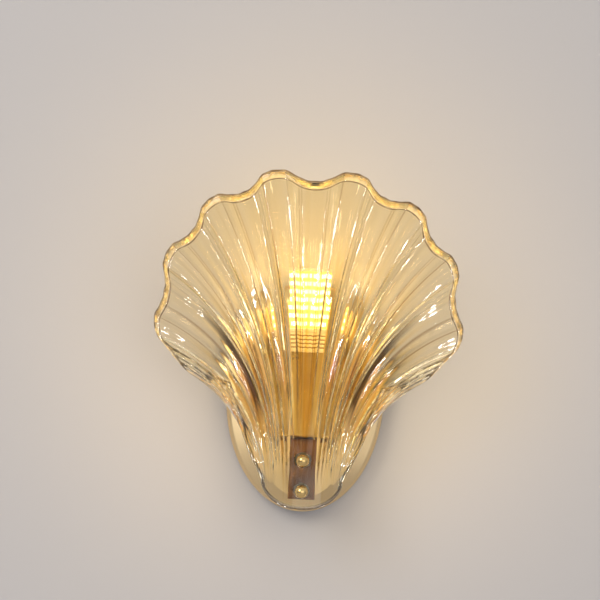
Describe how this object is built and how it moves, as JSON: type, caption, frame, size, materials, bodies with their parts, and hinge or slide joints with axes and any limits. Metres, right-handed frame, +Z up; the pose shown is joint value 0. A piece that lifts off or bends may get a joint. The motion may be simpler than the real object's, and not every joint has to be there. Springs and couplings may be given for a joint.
{
  "type": "wall sconce",
  "caption": "Wall light with an upright fluted glass shell, its tongue screwed to a bar in front of an oval plate, and a small upright lamp in a straight cup behind the glass.",
  "frame": {"origin": "centre of the oval wall plate, on the wall", "axes": "+Z up along the plate's long axis, +Y into the wall, -Y out into the room, +X to the right of someone facing the light"},
  "size_m": [0.2356, 0.126, 0.2641],
  "materials": {
    "plate_brass": "satin",
    "screw_brass": "polished",
    "plain_brass": "plain",
    "bronzed_brass": "antique bronze",
    "zinc_steel": "zinc plated",
    "plated_metal": "nickel plated",
    "block_plastic": "semi gloss",
    "holder_plastic": "matt",
    "black_plastic": "gloss",
    "lamp_white": "gloss",
    "chip_yellow": "lit phosphor",
    "lead_brown": "flexible PVC",
    "lead_blue": "flexible PVC",
    "lead_green": "flexible PVC, green and yellow",
    "warm_glass": "pressed, polished, faint amber",
    "pad_silicone": "clear silicone"
  },
  "bodies": {
    "fixed": {"backplate": "plate_brass", "mounting_strap": "zinc_steel", "canopy_screws": "screw_brass", "earth_washer": "zinc_steel", "earth_screw": "zinc_steel", "terminal_block": "block_plastic", "terminal_screws": "zinc_steel", "terminal_fixing_screw": "zinc_steel", "arm": "plate_brass", "earth_tag": "plain_brass", "arm_nut": "plain_brass", "shade_bracket": "bronzed_brass", "cup_nipple": "plain_brass", "lamp_cup": "plate_brass", "cup_nut": "plain_brass", "holder_base": "holder_plastic", "holder_body": "holder_plastic", "holder_shell": "plated_metal", "holder_contact": "plain_brass", "holder_terminals": "plain_brass", "lead_live": "lead_brown", "lead_neutral": "lead_blue", "lead_earth": "lead_green", "glass_shade": "warm_glass", "shade_pads": "pad_silicone", "shade_washers": "pad_silicone"},
    "lamp": {"bulb_tip": "plated_metal", "bulb_insulator": "black_plastic", "bulb_cap": "plated_metal", "bulb_neck": "lamp_white", "bulb_core": "lamp_white", "led_chips": "chip_yellow", "bulb_top": "lamp_white"},
    "screw_upper": {"shade_screw_upper": "screw_brass"},
    "screw_lower": {"shade_screw_lower": "screw_brass"}
  },
  "joints": [
    {"name": "lamp_turn", "type": "hinge", "parent": "fixed", "child": "lamp", "pos_m": [0, -0.046, 0], "axis": [0, 0, 1], "continuous": true},
    {"name": "shade_screw_upper_turn", "type": "hinge", "parent": "fixed", "child": "screw_upper", "pos_m": [0, 0, -0.0459], "axis": [0, 1, 0], "continuous": true},
    {"name": "shade_screw_lower_turn", "type": "hinge", "parent": "fixed", "child": "screw_lower", "pos_m": [0, 0, -0.0694], "axis": [0, 1, 0], "continuous": true}
  ]
}
